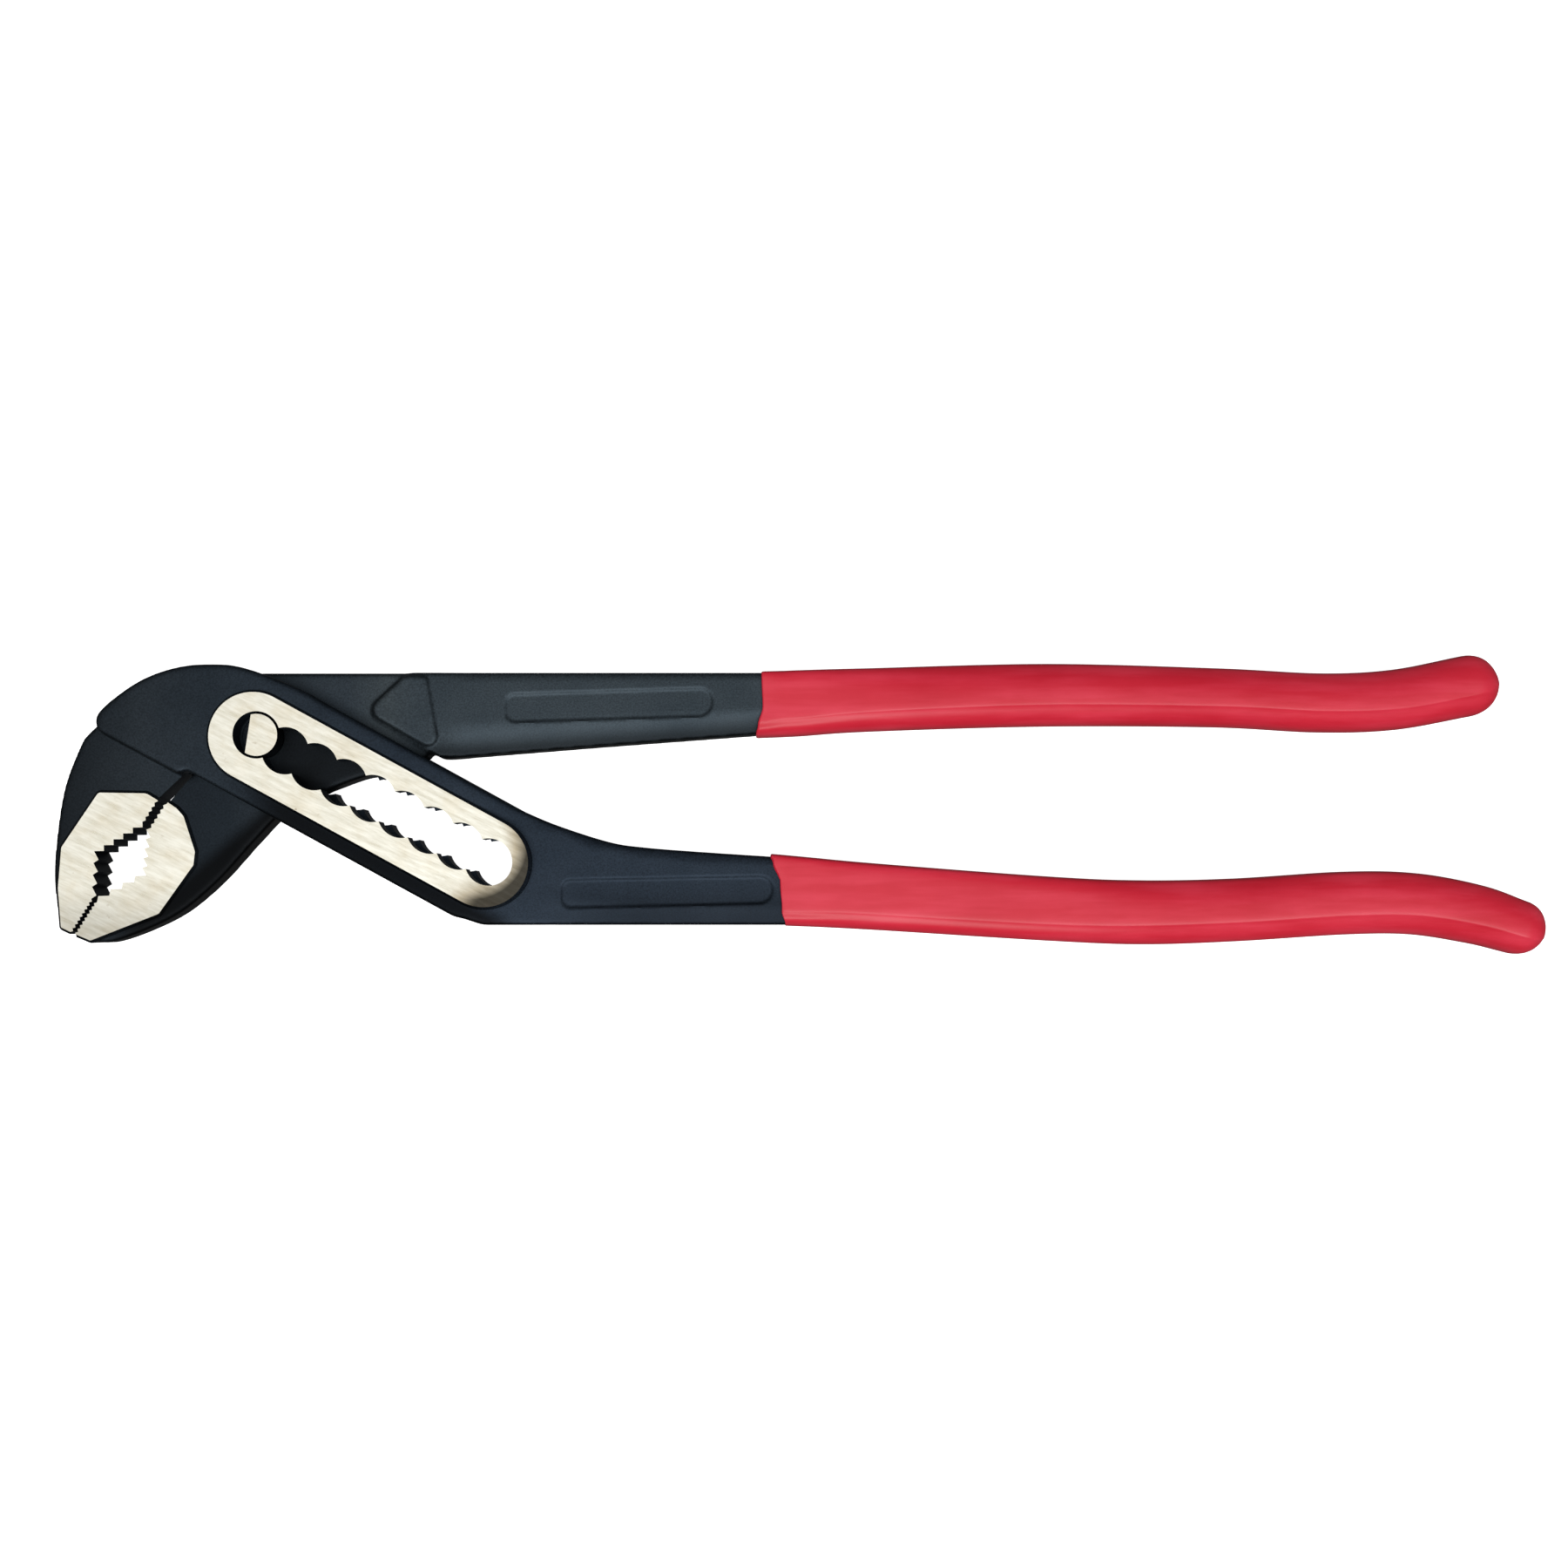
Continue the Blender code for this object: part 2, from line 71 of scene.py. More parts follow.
# The pin, the tongue and the window that the tongue turns in.
PIN_R, PIN_FLAT, PIN_FLAT_ANGLE = 5.5 * MM, 2.2 * MM, math.radians(171.2)
BORE_CLEARANCE = 0.1 * MM
PIN_BELOW_FACE = 0.01 * MM  # each end below the boss's face
PIN_SHY = 0.05 * MM         # each end of its round middle below the tongue's face
TONGUE_R, TONGUE_TURN = 17.15 * MM, math.radians(205.0)
TONGUE_CLEARANCE = 0.45 * MM
OPENING = math.radians(60.0)
WINDOW_END_R, WINDOW_END_REACH = 23.5 * MM, math.radians(50.0)

# Where each grip starts and how long it is.
UPPER_START, UPPER_LENGTH = 131.0 * MM, 198.3 * MM
LOWER_START, LOWER_LENGTH = 76.6 * MM, 206.0 * MM

REACH = 60.0 * MM           # how far cutters run past the metal
VOXEL = 0.45 * MM
CURVE_STEPS = 8
ARC_STEP = math.radians(5.0)


# ---------------------------------------------------------------- outlines

def mm(*points):
    """Points given in millimetres from the pivot, as vectors in metres."""
    return [Vector(point) * MM for point in points]


def on_slot(along, across):
    """A point in the plane, from the first notch along and across the slot."""
    return SLOT_WAY * along + SLOT_SIDE * across


LAST_NOTCH = on_slot(SLOT_LENGTH, 0.0)


def from_last(*points):
    """Points given in millimetres from the last notch."""
    return [LAST_NOTCH + point for point in mm(*points)]


def arc(centre, radius, start, end):
    """Points on a circle from one angle to another, ends included."""
    count = max(2, math.ceil(abs(end - start) / ARC_STEP))
    angles = [start + (end - start) * step / count for step in range(count + 1)]
    return [Vector(centre) + radius * Vector((math.cos(a), math.sin(a))) for a in angles]


def curve_point(before, start, end, after, t):
    """A place between start and end on a smooth curve through all four points."""
    return 0.5 * (2 * start + (end - before) * t
                  + (2 * before - 5 * start + 4 * end - after) * t ** 2
                  + (3 * start - before - 3 * end + after) * t ** 3)


def smooth(points, steps=CURVE_STEPS):
    """A smooth curve through points of any dimension."""
    points = [Vector(point) for point in points]
    padded = [2 * points[0] - points[1]] + points + [2 * points[-1] - points[-2]]
    result = [points[0]]
    for around in zip(padded, padded[1:], padded[2:], padded[3:]):
        result += [curve_point(*around, step / steps) for step in range(1, steps + 1)]
    return result


def rounded(corners):
    """An outline whose corners, (x, y, radius) in millimetres, are rounded by arcs."""
    count = len(corners)
    result = []
    for number, (x, y, radius) in enumerate(corners):
        corner = Vector((x, y))
        before = Vector(corners[number - 1][:2]) - corner
        after = Vector(corners[(number + 1) % count][:2]) - corner
        half = before.angle(after) / 2
        if radius == 0.0:
            result.append(corner * MM)
            continue
        tangent = min(radius / math.tan(half), before.length * 0.49, after.length * 0.49)
        radius = tangent * math.tan(half)
        middle = corner + (before.normalized() + after.normalized()).normalized() * (
            radius / math.sin(half))
        start = corner + before.normalized() * tangent - middle
        end = corner + after.normalized() * tangent - middle
        turn = start.angle_signed(end)
        first = math.atan2(start.y, start.x)
        result += [point * MM for point in arc(middle, radius, first, first - turn)]
    return result


def teeth(start, end, count, depth, crest):
    """Saw teeth from start to end that stand up to depth on the left of the way."""
    start, end = Vector(start), Vector(end)
    pitch = (end - start) / count
    outward = Vector((-pitch.y, pitch.x)).normalized() * depth
    result = []
    for number in range(count):
        root = start + pitch * number
        result += [root, root + pitch * crest + outward]
    return result + [end]


# ------------------------------------------------------------- solid tools

def new_object(name, mesh):
    obj = bpy.data.objects.new(name, mesh)
    bpy.context.scene.collection.objects.link(obj)
    return obj


def applied(obj):
    """The object with its modifiers made part of its mesh."""
    bpy.context.view_layer.update()
    graph = bpy.context.evaluated_depsgraph_get()
    mesh = bpy.data.meshes.new_from_object(obj.evaluated_get(graph))
    obj.modifiers.clear()
    old = obj.data
    obj.data = mesh
    if old.users == 0 and isinstance(old, bpy.types.Mesh):
        bpy.data.meshes.remove(old)
    return obj


def plate(outline, thickness, chamfer=0.0, level=0.0, ground=False):
    """A flat plate centred on a level. A chamfer widens it below its two faces.

    The two faces of a ground plate take the second material.
    """
    curve = bpy.data.curves.new("plate", "CURVE")
    curve.dimensions = "2D"
    curve.fill_mode = "BOTH"
    curve.extrude = thickness / 2 - chamfer
    if chamfer:
        curve.bevel_depth = chamfer
        curve.bevel_resolution = 0
    spline = curve.splines.new("POLY")
    spline.points.add(len(outline) - 1)
    for point, place in zip(spline.points, outline):
        point.co = (place[0], place[1], 0.0, 1.0)
    spline.use_cyclic_u = True
    drawn = new_object("plate", curve)
    bpy.context.view_layer.update()
    graph = bpy.context.evaluated_depsgraph_get()
    mesh = bpy.data.meshes.new_from_object(drawn.evaluated_get(graph))
    bpy.data.objects.remove(drawn)
    shell = bmesh.new()
    shell.from_mesh(mesh)
    bmesh.ops.remove_doubles(shell, verts=shell.verts, dist=0.004 * MM)
    bmesh.ops.recalc_face_normals(shell, faces=shell.faces)
    bmesh.ops.translate(shell, verts=shell.verts, vec=(0.0, 0.0, level))
    for face in shell.faces:
        face.material_index = 1 if ground and abs(face.normal.z) > 0.99 else 0
    shell.to_mesh(mesh)
    shell.free()
    for _ in range(2):
        mesh.materials.append(None)
    return new_object("plate", mesh)


def round_bar(radius, depth):
    shell = bmesh.new()
    bmesh.ops.create_cone(shell, cap_ends=True, segments=96, depth=depth,
                          radius1=radius, radius2=radius)
    mesh = bpy.data.meshes.new("round")
    shell.to_mesh(mesh)
    shell.free()
    for _ in range(2):
        mesh.materials.append(None)
    return new_object("round", mesh)


def combine(obj, operation, tool, solver="MANIFOLD"):
    """Joins or cuts obj with a tool, which is then removed."""
    modifier = obj.modifiers.new("combine", "BOOLEAN")
    modifier.operation = operation
    modifier.object = tool
    modifier.solver = solver
    applied(obj)
    bpy.data.objects.remove(tool)
    return obj


def forge(obj, rounds):
    """Gives a blank the soft steps and edges of a forging."""
    remesh = obj.modifiers.new("skin", "REMESH")
    remesh.mode = "VOXEL"
    remesh.voxel_size = VOXEL
    remesh.use_smooth_shade = True
    relax = obj.modifiers.new("relax", "SMOOTH")
    relax.factor = 0.5
    relax.iterations = rounds
    return applied(obj)


def retouch(obj, height_at):
    """Scales every point's height by what height_at gives for its place."""
    for vertex in obj.data.vertices:
        vertex.co.z *= height_at(vertex.co.x, vertex.co.y)


def eased(low, high, value):
    """0 to 1 over a span, with soft ends."""
    t = min(max((value - low) / (high - low), 0.0), 1.0)
    return t * t * (3 - 2 * t)


def between(table, place):
    """The row of a table at a place, eased between the rows about it."""
    for (start, *low), (end, *high) in zip(table, table[1:]):
        if place <= end:
            t = eased(start, end, place)
            return [a + (b - a) * t for a, b in zip(low, high)]
    return list(table[-1][1:])


def inside_depth(point, outline):
    """How far inside a closed outline a point lies, negative outside."""
    nearest, inside = 1e9, False
    x, y = point
    for number, end in enumerate(outline):
        start = outline[number - 1]
        way = end - start
        t = min(max((point - start).dot(way) / way.length_squared, 0.0), 1.0)
        nearest = min(nearest, (point - start - way * t).length)
        if (start.y > y) != (end.y > y):
            if x < start.x + (y - start.y) / way.y * way.x:
                inside = not inside
    return nearest if inside else -nearest


def sink(obj, outline, depth, edge):
    """Presses a flat-bottomed panel into both faces of a bar."""
    reach_x = [point.x for point in outline]
    reach_y = [point.y for point in outline]
    facing = [abs(vertex.normal.z) > 0.7 for vertex in obj.data.vertices]
    left, right = min(reach_x) - edge, max(reach_x) + edge
    low, high = min(reach_y) - edge, max(reach_y) + edge
    for vertex, faces_out in zip(obj.data.vertices, facing):
        x, y, z = vertex.co
        if not (faces_out and left < x < right and low < y < high):
            continue
        inside = inside_depth(Vector((x, y)), outline)
        vertex.co.z -= math.copysign(depth * eased(-edge / 2, edge / 2, inside), z)


# -------------------------------------------------------------------- jaws

THROAT_TOP, THROAT_END = mm((-19.7, -9.7), (-26.6, -16.9))
RECESS_TOP, RECESS_FOOT, TIP = mm((-30.6, -23.2), (-44.6, -43.3), (-50.2, -52.1))
FIXED_CORNER, MOVING_CORNER = mm((-44.6, -30.2), (-30.8, -36.7))
FLAT_WAY = (THROAT_END - TIP).normalized()
FLAT_SIDE = Vector((FLAT_WAY.y, -FLAT_WAY.x))
FINE, COARSE = 0.55 * MM, 1.3 * MM
CLOSED_GAP, THROAT_GAP = 0.7 * MM, 1.8 * MM


def jaw_face(side, corner):
    """One jaw's biting face from its tip up to the throat. Side is -1 fixed, 1 moving."""
    closed = FLAT_SIDE * side * (CLOSED_GAP / 2 + FINE)
    apart = FLAT_SIDE * side * (THROAT_GAP / 2 + FINE)
    return (
        teeth(TIP + closed, RECESS_FOOT + closed, 9, side * FINE, 0.5)
        + teeth(RECESS_FOOT + closed, corner, 4, side * COARSE, 0.3)
        + teeth(corner, RECESS_TOP + apart, 5, side * COARSE, 0.75)
        + teeth(RECESS_TOP + apart, THROAT_END + apart, 5, side * FINE, 0.5)
        + [THROAT_TOP + FLAT_SIDE * side * THROAT_GAP / 2])


def space_beside(face, side):
    """A cutter for everything on the open side of a biting face."""
    far = FLAT_SIDE * -side * REACH
    below = -FLAT_WAY * REACH
    return plate([face[0] + below, *face, face[-1] + far, face[0] + far + below], REACH)


# -------------------------------------------------------------------- bars

def stations(shape, anchor, start, length):
    return [Vector((anchor[0] + start + share * length, anchor[1] + y * MM, width * MM))
            for share, y, width in shape]


UPPER_LINE = stations(
    ((0.0, 9.0, 17.2), (0.053, 9.45, 17.3), (0.15, 10.4, 16.7), (0.39, 11.7, 16.6),
     (0.62, 11.0, 15.6), (0.76, 9.65, 15.6), (0.86, 10.5, 16.0), (0.957, 14.1, 16.3)),
    (0.0, 0.0), UPPER_START, UPPER_LENGTH)
LOWER_LINE = stations(
    ((0.0, -7.2, 18.9), (0.12, -8.95, 17.8), (0.35, -12.2, 17.2), (0.47, -13.15, 17.2),
     (0.59, -12.5, 16.9), (0.73, -10.7, 16.9), (0.82, -10.85, 16.5), (0.90, -13.6, 15.9),
     (0.955, -17.0, 14.6)),
    LAST_NOTCH, LOWER_START, LOWER_LENGTH)
BAR_INSET = 1.35 * MM


def bar(line, inset):
    """Outline of a round-ended bar: its upper side, its end and its lower side."""
    middle = smooth(line)
    upper, lower = [], []
    for number, station in enumerate(middle):
        before = middle[max(number - 1, 0)]
        after = middle[min(number + 1, len(middle) - 1)]
        way = (after - before).to_2d().normalized()
        side = Vector((-way.y, way.x)) * (station.z / 2 - inset)
        upper.append(station.to_2d() + side)
        lower.append(station.to_2d() - side)
    heading = math.atan2(way.y, way.x)
    last, quarter = middle[-1], math.pi / 2
    end = arc(last.to_2d(), last.z / 2 - inset, heading + quarter, heading - quarter)
    return upper[:-1] + end + lower[-2::-1]


def lozenge(left, right, height_left, height_right):
    """A long rounded panel between two end points, in millimetres."""
    (x0, y0), (x1, y1) = left, right
    a, b = height_left / 2, height_right / 2
    return rounded([(x0, y0 - a, 2.4), (x1, y1 - b, b), (x1, y1 + b, b), (x0, y0 + a, 2.4)])


# ------------------------------------------------------------ slotted half

# Half thickness in millimetres along X: cheeks, the fall behind the boss, the bar.
CHEEK_HEIGHTS = ((0.0, 9.25), (50.0, 9.25), (78.0, 6.0), (112.0, 4.5))
NECK_TOP = ((75.0, -21.5), (90.0, -27.0), (104.0, -29.6), (118.0, -31.0), (140.0, -31.5))
NECK_FOOT = -49.5


def slotted_height(x, y):
    """Height of the slotted half's surface as a share of its cheeks' height."""
    share = between(CHEEK_HEIGHTS, x / MM)[0] / (CHEEK_T / 2 / MM)
    top = between(NECK_TOP, x / MM)[0]
    across = (top - y / MM) / (top - NECK_FOOT)
    handle = eased(62.0, 90.0, x / MM)
    return share * (1 - handle * (0.20 * eased(0.72, 1.04, across)
                                  + 0.12 * eased(0.14, -0.03, across)))


def slotted_outline():
    head = smooth(mm((-42.1, 1.2), (-42.6, 4.5), (-39.7, 8.3), (-31.1, 14.4),
                     (-22.0, 17.8), (-13.0, 18.8), (-4.0, 17.9))
                  + [on_slot(2.0 * MM, ARM_ABOVE), on_slot(12.0 * MM, ARM_ABOVE)])
    neck = smooth([on_slot(SLOT_LENGTH, ARM_ABOVE)]
                  + from_last((17.3, 9.9), (31.1, 5.5), (40.4, 4.1), (54.3, 3.0), (80.0, 1.3)))
    shoulder = from_last((80.0, -16.5), (-2.0, -16.5))
    foot = arc(on_slot(SLOT_LENGTH - FOOT_BACK, FOOT_R - ARM_BELOW), FOOT_R,
               FOOT_TURN, SLOT_ANGLE - math.pi / 2)
    edge = [on_slot(STEP_TOP, -ARM_BELOW), on_slot(STEP_FOOT, -BOX_BELOW)]
    return head + neck + bar(LOWER_LINE, BAR_INSET) + shoulder + foot + edge


def window():
    """The hollow between the cheeks, where the tongue turns and slides."""
    back = TONGUE_R + TONGUE_CLEARANCE
    wall = arc((0.0, 0.0), back, math.pi / 2 + OPENING, TONGUE_TURN)
    end = arc(LAST_NOTCH, WINDOW_END_R, SLOT_ANGLE - WINDOW_END_REACH,
              SLOT_ANGLE + WINDOW_END_REACH)
    stop_way = Vector((math.cos(OPENING), math.sin(OPENING)))
    outline = ([wall[0] + stop_way * REACH] + wall
               + [THROAT_TOP - FLAT_SIDE * THROAT_GAP / 2, THROAT_TOP - Vector((0.0, REACH))]
               + [end[0] - SLOT_SIDE * REACH] + end + [end[-1] + SLOT_SIDE * REACH])
    return plate(outline, WINDOW_GAP)


def slot_outline(across=0.0):
    """The scalloped slot's edge, moved this far across its line."""
    half = math.acos(PITCH / 2 / NOTCH_R)
    outline = []
    for side in (1, -1):
        for step in range(NOTCHES):
            number = NOTCHES - 1 - step if side > 0 else step
            start = 0.0 if number == NOTCHES - 1 else half
            stop = math.pi if number == 0 else math.pi - half
            turn = (start, stop) if side > 0 else (stop, start)
            outline += arc(on_slot(number * PITCH, across), NOTCH_R,
                           SLOT_ANGLE + side * turn[0], SLOT_ANGLE + side * turn[1])[:-1]
    return outline


def boss_plate():
    """The ground boss, worn down towards its far end."""
    quarter = math.pi / 2
    outline = (arc(on_slot(BOSS_START, BOSS_DROP), BOSS_R,
                   SLOT_ANGLE + quarter, SLOT_ANGLE + 3 * quarter)
               + arc(on_slot(BOSS_END, BOSS_DROP), BOSS_R,
                     SLOT_ANGLE - quarter, SLOT_ANGLE + quarter))
    boss = plate(outline, BOSS_T, BOSS_CHAMFER, ground=True)
    shell = bmesh.new()
    shell.from_mesh(boss.data)
    for along in range(62, 81):     # cuts a millimetre apart, so that the face can bend
        cut = on_slot(along * MM, 0.0).to_3d()
        geometry = shell.verts[:] + shell.edges[:] + shell.faces[:]
        bmesh.ops.bisect_plane(shell, geom=geometry, plane_co=cut, plane_no=SLOT_WAY.to_3d())
    for vertex in shell.verts:
        along = vertex.co.to_2d().dot(SLOT_WAY) / MM
        vertex.co.z -= math.copysign(BOSS_WEAR * eased(67.0, 83.0, along), vertex.co.z)
    shell.to_mesh(boss.data)
    shell.free()
    return boss


def build_slotted_half():
    jaw = (smooth(mm((-37.0, 9.0), (-46.0, 1.6), (-49.1, -3.1), (-53.3, -15.0),
                     (-55.6, -33.0), (-55.2, -43.0), (-53.9, -50.2)))
           + mm((-46.0, -54.2), (-28.0, -36.0), (-24.0, -17.0), (-17.0, -8.0), (-20.0, 2.0)))
    pad = rounded([(-43.5, -14.7, 1.2), (-30.8, -14.9, 2.5), (-22.0, -20.2, 0),
                   (-26.0, -36.0, 0), (-46.0, -54.0, 0), (-53.4, -50.4, 0.6),
                   (-54.2, -40.0, 8.0), (-53.3, -29.2, 1.5)])
    panel = lozenge((79.4, -41.6), (135.2, -40.4), 7.4, 7.2)
    half = plate(slotted_outline(), CHEEK_T)
    forge(half, 14)
    retouch(half, slotted_height)
    combine(half, "UNION", plate(jaw, TONGUE_T))
    forge(half, 7)
    sink(half, panel, PANEL_DEPTH, PANEL_EDGE)
    combine(half, "UNION", boss_plate())
    combine(half, "UNION", plate(pad, JAW_PAD_T, PAD_CHAMFER, ground=True))
    combine(half, "DIFFERENCE", space_beside(jaw_face(-1, FIXED_CORNER), -1))
    combine(half, "DIFFERENCE", window())
    combine(half, "DIFFERENCE", plate(slot_outline(), REACH))
    relief = plate(slot_outline(SLOT_RELIEF), BOSS_T / 2, level=-BOSS_T / 2)
    combine(half, "DIFFERENCE", relief)
    return half


# -------------------------------------------------------------- inner half

def inner_height(x, y):
    """Height of the handle's surface, falling off towards its lower edge."""
    x, y = x / MM, y / MM
    foot = -5.5 + (x - 46.0) * 0.075
    across = (17.3 - y) / (17.3 - foot)
    handle = eased(44.0, 56.0, x)
    return 1 - handle * (0.34 * eased(0.58, 1.02, across) + 0.08 * eased(0.12, -0.02, across))


def build_inner_half():
    tongue = (arc((0.0, 0.0), TONGUE_R, math.pi / 2, TONGUE_TURN)
              + mm((-26.0, -14.0), (-44.0, -34.0), (-52.5, -51.2))
              + smooth(mm((-45.4, -54.2), (-40.4, -54.3), (-31.0, -51.0), (-21.6, -46.1),
                          (-12.2, -38.1), (-3.4, -28.4), (3.0, -21.5)))
              + smooth(mm((16.6, -14.0), (26.0, -10.6), (33.0, -9.3), (43.3, -5.2)))
              + mm((46.0, 3.0), (44.0, 17.15)))
    pad = rounded([(-22.7, -18.9, 2.0), (-20.9, -21.0, 2.0), (-17.9, -30.3, 1.5),
                   (-18.3, -33.9, 1.5), (-27.5, -46.8, 1.5), (-45.6, -53.9, 0.8),
                   (-52.0, -51.2, 0), (-40.0, -34.0, 0), (-27.6, -15.6, 0)])
    shank = (mm((135.0, 1.3), (91.1, -2.0), (50.0, -5.3), (46.9, -5.3), (44.8, -4.2),
                (29.2, 5.4), (29.0, 8.0), (39.0, 17.3), (135.0, 17.3))
             + bar(UPPER_LINE, BAR_INSET))
    thumb_pad = rounded([(43.4, 16.2, 1.6), (47.0, -4.4, 2.4), (27.4, 6.9, 2.8),
                         (37.6, 16.2, 2.0)])
    panel = lozenge((64.4, 7.7), (119.2, 9.4), 7.4, 7.4)
    half = plate(tongue, TONGUE_T)
    combine(half, "UNION", plate(shank, SHANK_T), "EXACT")
    forge(half, 12)
    retouch(half, inner_height)
    combine(half, "UNION", plate(thumb_pad, THUMB_PAD_T))
    forge(half, 4)
    sink(half, panel, PANEL_DEPTH, PANEL_EDGE)
    combine(half, "UNION", plate(pad, JAW_PAD_T, PAD_CHAMFER, ground=True))
    combine(half, "DIFFERENCE", space_beside(jaw_face(1, MOVING_CORNER), 1))
    combine(half, "DIFFERENCE", round_bar(PIN_R + BORE_CLEARANCE, REACH))
    return half


def build_pin():
    pin = round_bar(PIN_R, BOSS_T - 2 * PIN_BELOW_FACE)
    way = Vector((math.cos(PIN_FLAT_ANGLE), math.sin(PIN_FLAT_ANGLE)))
    side = Vector((-way.y, way.x))
    flat = [way * (PIN_FLAT + REACH * out) + side * REACH * across
            for out, across in ((0, -1), (1, -1), (1, 1), (0, 1))]
    combine(pin, "DIFFERENCE", plate(flat, REACH), "EXACT")
    combine(pin, "UNION", round_bar(PIN_R, TONGUE_T - 2 * PIN_SHY), "EXACT")
    for polygon in pin.data.polygons:
        level = abs(polygon.center.z) > TONGUE_T
        polygon.material_index = 1 if level and abs(polygon.normal.z) > 0.99 else 0
    return pin


# ------------------------------------------------------------------- grips

# Upper half of a grip's section from its +Y edge to its -Y edge, as shares of its half
# width and half height: nearly square at the mouth, crowned to a ridge further back.
MOUTH_SECTION = ((1.0, 0.0), (1.0, 0.5), (0.965, 0.84), (0.86, 0.965), (0.6, 1.0), (0.1, 1.0),
                 (-0.35, 1.0), (-0.56, 0.99), (-0.66, 0.95), (-0.84, 0.9), (-0.975, 0.55),
                 (-1.0, 0.0))
BODY_SECTION = ((1.0, 0.0), (0.985, 0.27), (0.92, 0.48), (0.74, 0.67), (0.5, 0.83), (0.2, 0.945),
                (-0.14, 1.0), (-0.37, 0.985), (-0.46, 0.925), (-0.74, 0.74), (-0.95, 0.42),
                (-1.0, 0.0))
# Half height in millimetres along a grip, and how far its section has turned to the body's.
GRIP_SHAPE = ((0.0, 5.6, 0.0), (0.12, 5.9, 0.35), (0.45, 7.0, 1.0), (0.8, 7.7, 1.0),
              (1.0, 7.6, 1.0))
GRIP_WALL = 0.8 * MM
LIP = 0.5 * MM
MOUTH_REACH = 9.0 * MM
TIP_STEPS = 14


def section(share):
    """Unit outline of a grip's section, and its half height, at a share of its length."""
    height, turned = between(GRIP_SHAPE, share)
    upper = [(a[0] + (b[0] - a[0]) * turned, a[1] + (b[1] - a[1]) * turned)
             for a, b in zip(MOUTH_SECTION, BODY_SECTION)]
    lower = [(u, -v) for u, v in upper[-2:0:-1]]
    loop = [Vector(point) for point in upper + lower]
    count = len(loop)
    points = []
    for number in range(count):
        around = [loop[(number + step) % count] for step in (-1, 0, 1, 2)]
        points += [curve_point(*around, step / 3) for step in range(3)]
    return points, height * MM


def grip_rings(line, inset, slant):
    """Sections of a grip from its mouth to its closed tip. Slant shapes the mouth's edge."""
    middle = smooth(line, 12)
    total = len(middle) - 1
    rings = []
    start = middle[0].to_2d()
    for number, station in enumerate(middle):
        before = middle[max(number - 1, 0)]
        after = middle[min(number + 1, total)]
        way = (after - before).to_2d().normalized()
        side = Vector((-way.y, way.x))
        points, height = section(number / total)
        centre = station.to_2d()
        pull = max(0.0, 1 - (centre - start).length / MOUTH_REACH)
        width, tall = station.z / 2 - inset, height - inset
        rings.append([
            (centre + side * u * width + way * between(slant, -u)[0] * MM * pull).to_3d()
            + Vector((0.0, 0.0, v * tall)) for u, v in points])
    for step in range(1, TIP_STEPS + 1):
        angle = math.pi / 2 * step / TIP_STEPS
        shrink = max(math.cos(angle), 0.03)
        forward = way * width * math.sin(angle)
        rings.append([(centre + forward + side * u * width * shrink).to_3d()
                      + Vector((0.0, 0.0, v * tall * shrink ** 0.8)) for u, v in points])
    return rings


def build_grip(line, slant):
    """A dipped grip: an outer skin, a rolled lip and the pocket that holds the bar."""
    outer = grip_rings(line, 0.0, slant)
    pocket = grip_rings(line, GRIP_WALL, slant)
    lip = []
    for angle in (80, 55, 30):
        turn = math.radians(angle)
        back = LIP * (1 - math.cos(turn))
        inward = LIP * (1 - math.sin(turn))
        lip.append([a.lerp(b, back / (outer[1][0] - outer[0][0]).length)
                    .lerp(p, inward / GRIP_WALL)
                    for a, b, p in zip(outer[0], outer[1], pocket[0])])
    rows = pocket[::-1] + lip[::-1] + outer[1:]
    shell = bmesh.new()
    made = [[shell.verts.new(point) for point in row] for row in rows]
    count = len(made[0])
    for first, second in zip(made, made[1:]):
        for a in range(count):
            b = (a + 1) % count
            shell.faces.new([first[a], first[b], second[b], second[a]])
    shell.faces.new(made[0])
    shell.faces.new(made[-1])
    bmesh.ops.recalc_face_normals(shell, faces=shell.faces)
    mesh = bpy.data.meshes.new("grip")
    shell.to_mesh(mesh)
    shell.free()
    return new_object("grip", mesh)


# --------------------------------------------------------------- materials

def shader_tree(name):
    material = bpy.data.materials.new(name)
    material.use_nodes = True
    tree = material.node_tree
    return material, tree, tree.nodes["Principled BSDF"]


def node(tree, kind, **settings):
    made = tree.nodes.new(kind)
    for key, value in settings.items():
        if key in made.inputs:
            made.inputs[key].default_value = value
        else:
            setattr(made, key, value)
    return made


def noise(tree, scale, detail, coordinates, roughness=0.55):
    made = node(tree, "ShaderNodeTexNoise", Scale=scale, Detail=detail, Roughness=roughness)
    tree.links.new(coordinates, made.inputs["Vector"])
    return made.outputs["Fac"]


def ramp_of(tree, value, *stops):
    made = tree.nodes.new("ShaderNodeValToRGB")
    elements = made.color_ramp.elements
    while len(elements) < len(stops):
        elements.new(0.5)
    for element, (place, colour) in zip(elements, stops):
        element.position = place
        element.color = (*colour, 1.0)
    tree.links.new(value, made.inputs["Fac"])
    return made.outputs["Color"]


def grey(level):
    return (level, level, level)


def mixed(tree, mode, amount, first, second):
    made = node(tree, "ShaderNodeMix", data_type="RGBA", blend_type=mode)
    made.inputs["Factor"].default_value = amount
    tree.links.new(first, made.inputs["A"])
    tree.links.new(second, made.inputs["B"])
    return made.outputs["Result"]


def bumped(tree, shader, value, strength, distance):
    made = node(tree, "ShaderNodeBump", Strength=strength, Distance=distance)
    tree.links.new(value, made.inputs["Height"])
    tree.links.new(made.outputs["Normal"], shader.inputs["Normal"])


